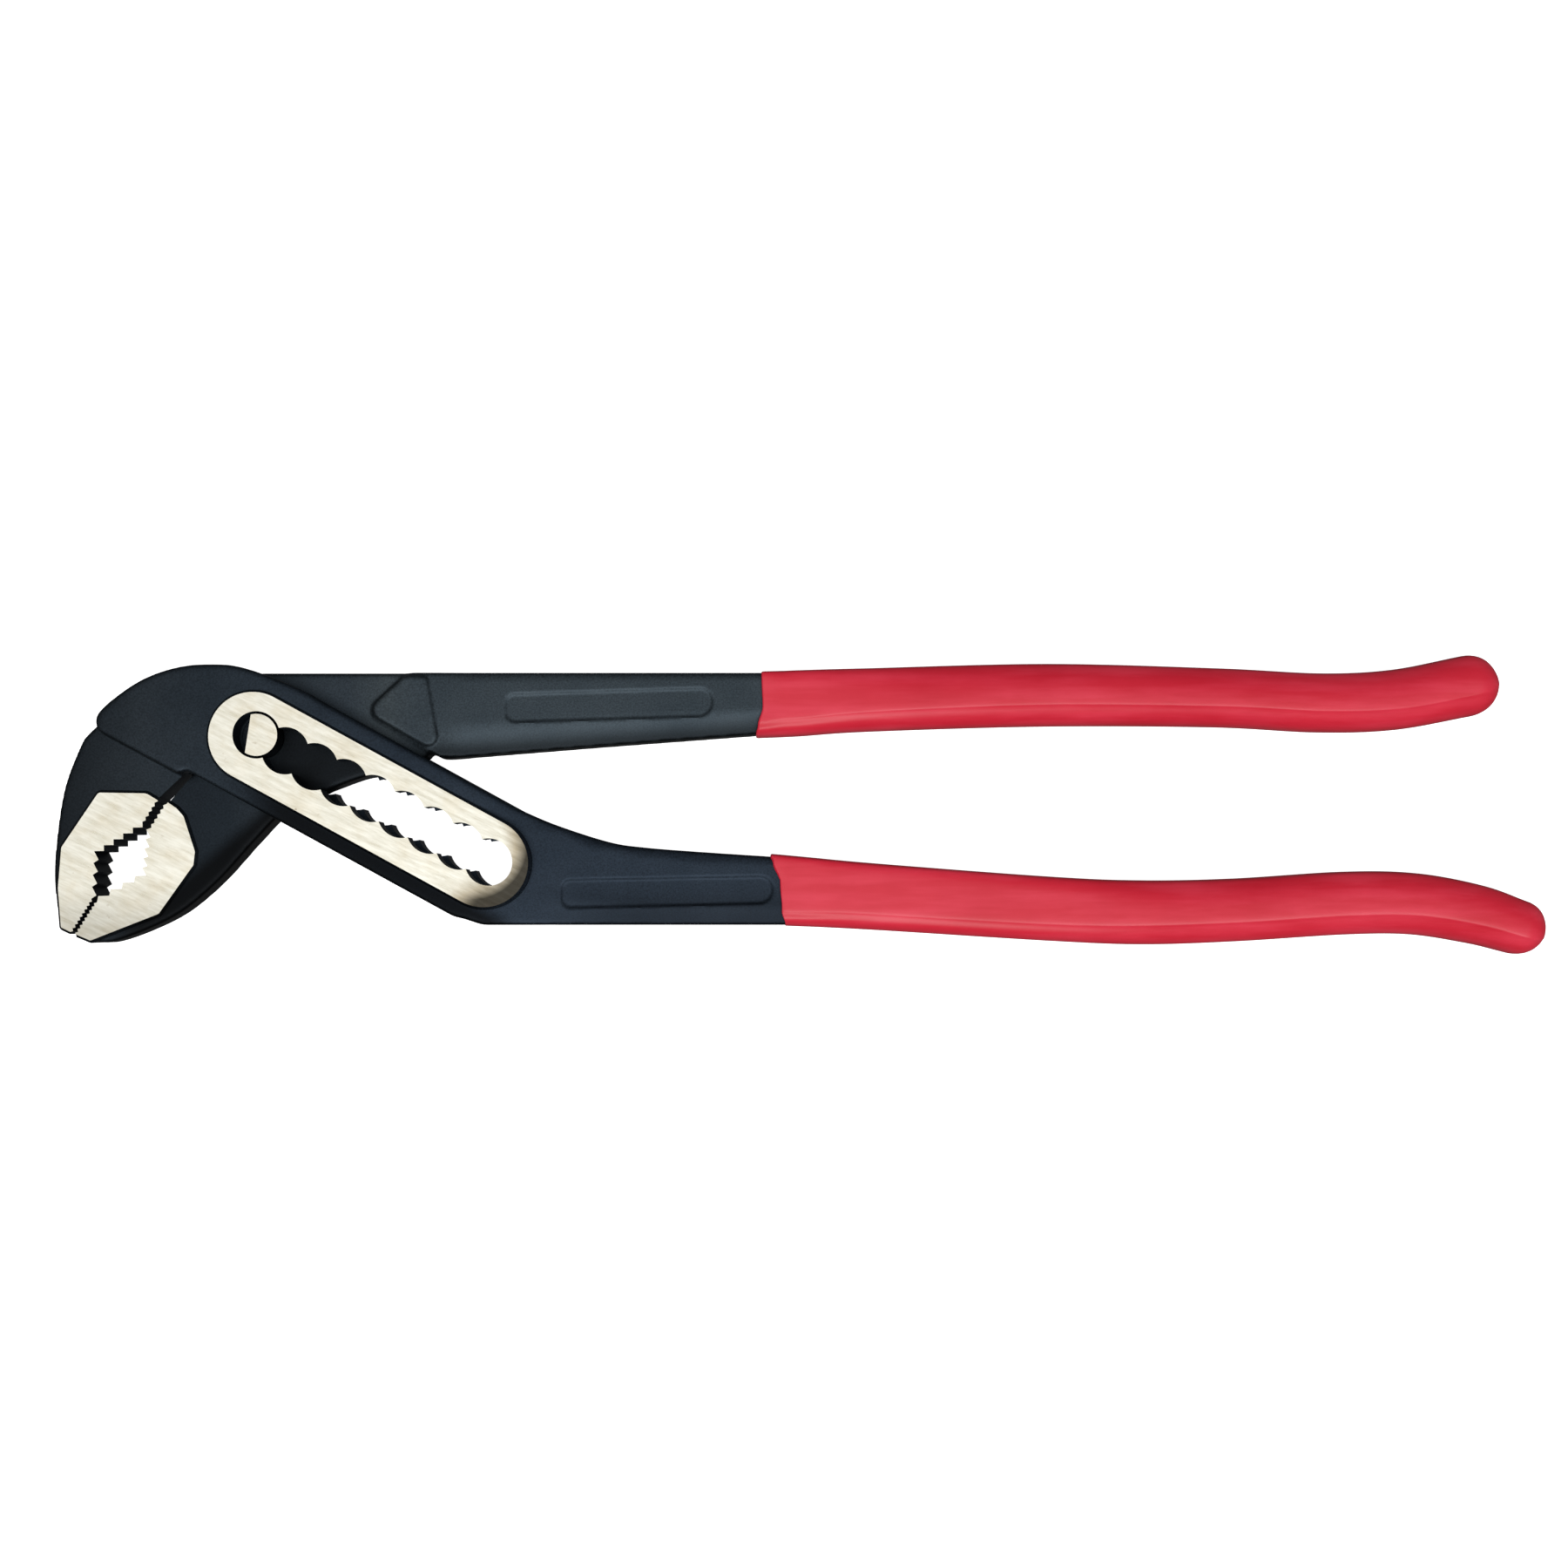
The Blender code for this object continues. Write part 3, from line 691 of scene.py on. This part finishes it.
# Ways across the tool that the painted shade on edges and the darker tips fade along.
LEFT, RIGHT, DOWN = (-1.0, 0.0), (1.0, 0.0), (0.0, -1.0)
JAW_BACK = (0.655, -0.755)
HANDLE_DOWN = (0.075, -1.0)


def fade(tree, place, way, low, high):
    """0 to 1 over a span measured in millimetres from the pivot along a way across the tool."""
    dot = node(tree, "ShaderNodeVectorMath", operation="DOT_PRODUCT")
    dot.inputs[1].default_value = (way[0], way[1], 0.0)
    tree.links.new(place, dot.inputs[0])
    start = PIVOT.x * way[0] + PIVOT.y * way[1]
    span = node(tree, "ShaderNodeMapRange", interpolation_type="SMOOTHSTEP")
    span.inputs["From Min"].default_value = start + low * MM
    span.inputs["From Max"].default_value = start + high * MM
    tree.links.new(dot.outputs["Value"], span.inputs["Value"])
    return span.outputs["Result"]


def both(tree, first, second):
    made = node(tree, "ShaderNodeMath", operation="MULTIPLY")
    tree.links.new(first, made.inputs[0])
    tree.links.new(second, made.inputs[1])
    return made.outputs["Value"]


def black_phosphate(name, shades, edges):
    """Forged steel under dark blue-grey phosphate, with a fine grain.

    The shades darken the phosphate along the tool towards the hardened jaws and lighten it
    towards the handle, past its own colour about the thumb pad, which is painted light. The
    edges are painted shade on the lower edges and on the tongue under the cheeks. Each edge has
    two fades and how dark it gets.
    """
    material, tree, shader = shader_tree(name)
    place = tree.nodes.new("ShaderNodeTexCoord").outputs["Object"]
    grain = noise(tree, 2200.0, 4.0, place, 0.65)
    cloud = noise(tree, 60.0, 5.0, place, 0.6)
    base = ramp_of(tree, cloud, (0.3, (0.019, 0.026, 0.033)), (0.7, (0.026, 0.034, 0.042)))
    speck = ramp_of(tree, grain, (0.35, grey(0.66)), (0.65, grey(1.30)))
    grained = mixed(tree, "MULTIPLY", 1.0, base, speck)
    span = node(tree, "ShaderNodeMapRange")
    span.inputs["From Min"].default_value = PIVOT.x - 60.0 * MM
    span.inputs["From Max"].default_value = PIVOT.x + 40.0 * MM
    parted = tree.nodes.new("ShaderNodeSeparateXYZ")
    tree.links.new(place, parted.inputs["Vector"])
    tree.links.new(parted.outputs["X"], span.inputs["Value"])
    # Painted light along the tool: darker towards the jaws, lifted past the phosphate's own
    # colour towards the handle.
    tone_and_painted_light = ramp_of(tree, span.outputs["Result"], *shades)
    phosphate_and_painted_light = mixed(tree, "MULTIPLY", 1.0, grained, tone_and_painted_light)
    # Painted shade: each edge darkens a lower edge, or the tongue under the cheeks.
    for first, second, level in edges:
        painted_shade_mask = both(tree, fade(tree, place, *first), fade(tree, place, *second))
        dark = ramp_of(tree, painted_shade_mask, (0.0, grey(1.0)), (1.0, grey(level)))
        phosphate_and_painted_light = mixed(tree, "MULTIPLY", 1.0, phosphate_and_painted_light, dark)
    tree.links.new(phosphate_and_painted_light, shader.inputs["Base Color"])
    rough = ramp_of(tree, grain, (0.3, grey(0.42)), (0.7, grey(0.58)))
    tree.links.new(rough, shader.inputs["Roughness"])
    shader.inputs["Metallic"].default_value = 0.9
    bumped(tree, shader, grain, 0.3, 0.06 * MM)
    return material


def drawn_out(tree, place, angle, share):
    """Places turned by an angle, then drawn out so that noise runs in streaks."""
    turned = node(tree, "ShaderNodeMapping")
    turned.inputs["Rotation"].default_value = (0.0, 0.0, angle)
    tree.links.new(place, turned.inputs["Vector"])
    drawn = node(tree, "ShaderNodeMapping")
    drawn.inputs["Scale"].default_value = (share, 1.0, 1.0)
    tree.links.new(turned.outputs["Vector"], drawn.inputs["Vector"])
    return drawn.outputs["Vector"]


def distance_in_plane(tree, place, centre):
    """How far a place is from the centre, seen along Z."""
    away = node(tree, "ShaderNodeVectorMath", operation="SUBTRACT")
    away.inputs[1].default_value = (centre.x, centre.y, 0.0)
    tree.links.new(place, away.inputs[0])
    flat = node(tree, "ShaderNodeVectorMath", operation="MULTIPLY")
    flat.inputs[1].default_value = (1.0, 1.0, 0.0)
    tree.links.new(away.outputs["Vector"], flat.inputs[0])
    length = node(tree, "ShaderNodeVectorMath", operation="LENGTH")
    tree.links.new(flat.outputs["Vector"], length.inputs[0])
    return length.outputs["Value"]


def painted_rim_shade(tree, place):
    """Painted shade, tinted brown, darkening the boss's ground face towards its rim about the
    slot's far end, where the face dips.
    """
    heart = PIVOT.to_2d() + on_slot(SLOT_LENGTH - 6.0 * MM, 2.0 * MM)
    ring = node(tree, "ShaderNodeMapRange")
    ring.inputs["From Min"].default_value = 8.0 * MM
    ring.inputs["From Max"].default_value = 14.5 * MM
    tree.links.new(distance_in_plane(tree, place, heart), ring.inputs["Value"])
    reach = fade(tree, place, SLOT_WAY, 62.0, 72.0)
    return ramp_of(tree, both(tree, ring.outputs["Result"], reach),
                   (0.0, grey(1.0)), (0.5, (0.56, 0.51, 0.44)), (1.0, (0.06, 0.056, 0.05)))


def darker_tips(tree, place):
    """Darkens the ground steel towards the jaws' tips."""
    tip = both(tree, fade(tree, place, DOWN, 36.0, 54.0), fade(tree, place, LEFT, 10.0, 25.0))
    return ramp_of(tree, tip, (0.0, grey(1.0)), (1.0, grey(0.66)))


def ground_steel():
    """Bare steel with the slanted streaks of a surface grinder and a few warm stains."""
    material, tree, shader = shader_tree("ground_steel")
    place = tree.nodes.new("ShaderNodeTexCoord").outputs["Object"]
    streak = noise(tree, 900.0, 5.0, drawn_out(tree, place, math.radians(25.0), 0.14), 0.65)
    cloud = noise(tree, 130.0, 4.0, place, 0.6)
    spot = noise(tree, 420.0, 2.0, place, 0.5)
    base = ramp_of(tree, streak, (0.34, (0.66, 0.63, 0.52)), (0.62, (0.86, 0.84, 0.74)))
    stain = ramp_of(tree, cloud, (0.34, (0.90, 0.85, 0.77)), (0.55, grey(1.0)))
    stained = mixed(tree, "MULTIPLY", 0.6, base, stain)
    dark = ramp_of(tree, spot, (0.20, (0.55, 0.48, 0.40)), (0.29, grey(1.0)))
    spotted = mixed(tree, "MULTIPLY", 0.7, stained, dark)
    # Painted shade on the boss's rim about the slot's far end.
    rim_shaded = mixed(tree, "MULTIPLY", 1.0, spotted, painted_rim_shade(tree, place))
    # Darker towards the jaws' tips.
    tips_darkened = mixed(tree, "MULTIPLY", 1.0, rim_shaded, darker_tips(tree, place))
    tree.links.new(tips_darkened, shader.inputs["Base Color"])
    rough = ramp_of(tree, streak, (0.3, grey(0.26)), (0.7, grey(0.36)))
    tree.links.new(rough, shader.inputs["Roughness"])
    shader.inputs["Metallic"].default_value = 0.9
    bumped(tree, shader, streak, 0.15, 0.03 * MM)
    return material


def red_vinyl():
    """Dipped vinyl: saturated red with a soft sheen, and painted pale pink highlight streaks
    along the grip.
    """
    material, tree, shader = shader_tree("red_vinyl")
    place = tree.nodes.new("ShaderNodeTexCoord").outputs["Object"]
    cloud = noise(tree, 45.0, 4.0, place)
    fine = noise(tree, 1500.0, 3.0, place)
    highlight_streak = noise(tree, 260.0, 3.0, drawn_out(tree, place, 0.0, 0.12))
    base = ramp_of(tree, cloud, (0.3, (0.65, 0.015, 0.036)), (0.7, (0.73, 0.023, 0.050)))
    # Painted highlight: pale pink streaks along the grip.
    painted_highlight = ramp_of(tree, highlight_streak, (0.4, grey(0.94)), (0.7, (1.06, 1.9, 1.6)))
    red_with_highlight = mixed(tree, "MULTIPLY", 1.0, base, painted_highlight)
    tree.links.new(red_with_highlight, shader.inputs["Base Color"])
    shader.inputs["Roughness"].default_value = 0.38
    shader.inputs["Specular IOR Level"].default_value = 0.35
    bumped(tree, shader, fine, 0.10, 0.08 * MM)
    return material


def paint(obj, *materials):
    marks = [polygon.material_index for polygon in obj.data.polygons]
    obj.data.materials.clear()
    for material in materials:
        obj.data.materials.append(material)
    obj.data.polygons.foreach_set("material_index", marks)


def settle(obj, name, body, node_name):
    """Names a finished piece, sets it in place and hands it to the frame."""
    obj.data.transform(Matrix.Translation(PIVOT))
    obj.name = name
    obj.data.name = name
    obj.data.shade_smooth()
    obj.data.set_sharp_from_angle(angle=math.radians(32.0))
    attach(obj, body)
    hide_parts(node_name)


# Darker towards the jaws; painted shade on the arm's lower edge below the slot and on the lower
# handle's lower edge.
slotted_steel = black_phosphate(
    "slotted_phosphate",
    ((0.0, grey(0.30)), (0.3, grey(0.95)), (0.6, (0.86, 0.92, 1.0)), (1.0, (0.82, 0.9, 1.05))),
    (((-SLOT_SIDE, 9.0, 14.0), (RIGHT, -12.0, 8.0), 0.12),
     ((DOWN, 36.0, 48.0), (RIGHT, 60.0, 100.0), 0.5)))
# Darker towards the jaws, with painted light past the phosphate's own colour about the thumb
# pad; painted shade on the moving jaw's back edge, the tongue under the cheeks and the handle's
# lower edge.
inner_steel = black_phosphate(
    "inner_phosphate",
    ((0.0, grey(0.40)), (0.5, (0.56, 0.60, 0.64)), (0.64, grey(0.95)), (0.82, grey(1.3)),
     (0.93, (2.00, 1.90, 1.72)), (1.0, (1.60, 1.60, 1.54))),
    (((JAW_BACK, 12.0, 17.0), (LEFT, -20.0, -5.0), 0.12),
     ((-SLOT_SIDE, -13.0, -11.0), (RIGHT, -2.0, 6.0), 0.22),
     ((HANDLE_DOWN, 2.5, 8.5), (RIGHT, 34.0, 46.0), 0.28)))
bright, vinyl = ground_steel(), red_vinyl()

slotted = build_slotted_half()
paint(slotted, slotted_steel, bright)
settle(slotted, "slotted_half_forging", "slotted", "slotted_half")

inner = build_inner_half()
paint(inner, inner_steel, bright)
settle(inner, "inner_half_forging", "inner", "inner_half")

pin = build_pin()
paint(pin, inner_steel, bright)
settle(pin, "pivot_pin_flatted", "inner", "pivot_pin")

# How far the mouth's edge reaches onto the bar, from the +Y edge to the -Y edge.
UPPER_MOUTH = ((-1.0, 1.5), (0.1, 1.5), (0.75, 0.0), (1.0, -0.6))
LOWER_MOUTH = ((-1.0, -3.4), (-0.8, -2.6), (-0.2, -0.3), (0.6, 0.6), (1.0, 1.8))
for line, slant, name, body, cad in (
        (UPPER_LINE, UPPER_MOUTH, "upper_grip_dip", "inner", "upper_grip"),
        (LOWER_LINE, LOWER_MOUTH, "lower_grip_dip", "slotted", "lower_grip")):
    grip = build_grip(line, slant)
    paint(grip, vinyl)
    settle(grip, name, body, cad)


# ----------------------------------------------------------- floor, lights

def build_floor():
    shell = bmesh.new()
    bmesh.ops.create_grid(shell, x_segments=1, y_segments=1, size=6.0)
    mesh = bpy.data.meshes.new("floor")
    shell.to_mesh(mesh)
    shell.free()
    floor = new_object("floor", mesh)
    floor.location.z = -0.5 * MM
    material, tree, shader = shader_tree("floor_white")
    shader.inputs["Base Color"].default_value = (0.8, 0.8, 0.8, 1.0)
    shader.inputs["Roughness"].default_value = 1.0
    shader.inputs["Specular IOR Level"].default_value = 0.0
    shader.inputs["Emission Color"].default_value = (1.0, 1.0, 1.0, 1.0)
    shader.inputs["Emission Strength"].default_value = 0.95
    paint(floor, material)
    floor.visible_diffuse = False
    floor.visible_glossy = False


def area_light(name, place, size, power):
    """A soft box with its long side along X, tilted about X to face the tool."""
    light = bpy.data.lights.new(name, "AREA")
    light.shape = "RECTANGLE"
    light.size, light.size_y = size
    light.energy = power
    obj = new_object(name, light)
    obj.location = place
    obj.rotation_euler = (math.atan2(-place[1], place[2]), 0.0, 0.0)


def build_world():
    world = bpy.data.worlds.new("studio")
    world.use_nodes = True
    background = world.node_tree.nodes["Background"]
    background.inputs["Color"].default_value = (1.0, 1.0, 1.0, 1.0)
    background.inputs["Strength"].default_value = 0.12
    bpy.context.scene.world = world


def build_camera():
    """Straight down, at the distance that the slot walls' perspective gives."""
    sensor, distance, view_width = 36.0, 416.0 * MM, 420.3 * MM
    camera = bpy.data.cameras.new("camera")
    camera.sensor_width = sensor
    camera.lens = sensor * distance / view_width
    camera.clip_start = 0.01
    camera.shift_x = 1 / 60
    camera.shift_y = 1 / 12
    obj = new_object("camera", camera)
    middle = Vector((131.27, -47.04, 0.0)) * MM
    obj.location = PIVOT + middle + Vector((0.0, 0.0, distance))
    bpy.context.scene.camera = obj


build_floor()
build_world()
area_light("overhead", (0.0, 0.08, 1.1), (2.0, 0.8), 5.3)
area_light("strip", (0.05, -0.52, 1.05), (1.4, 0.25), 10.3)
build_camera()
bpy.context.scene.view_settings.view_transform = "Standard"
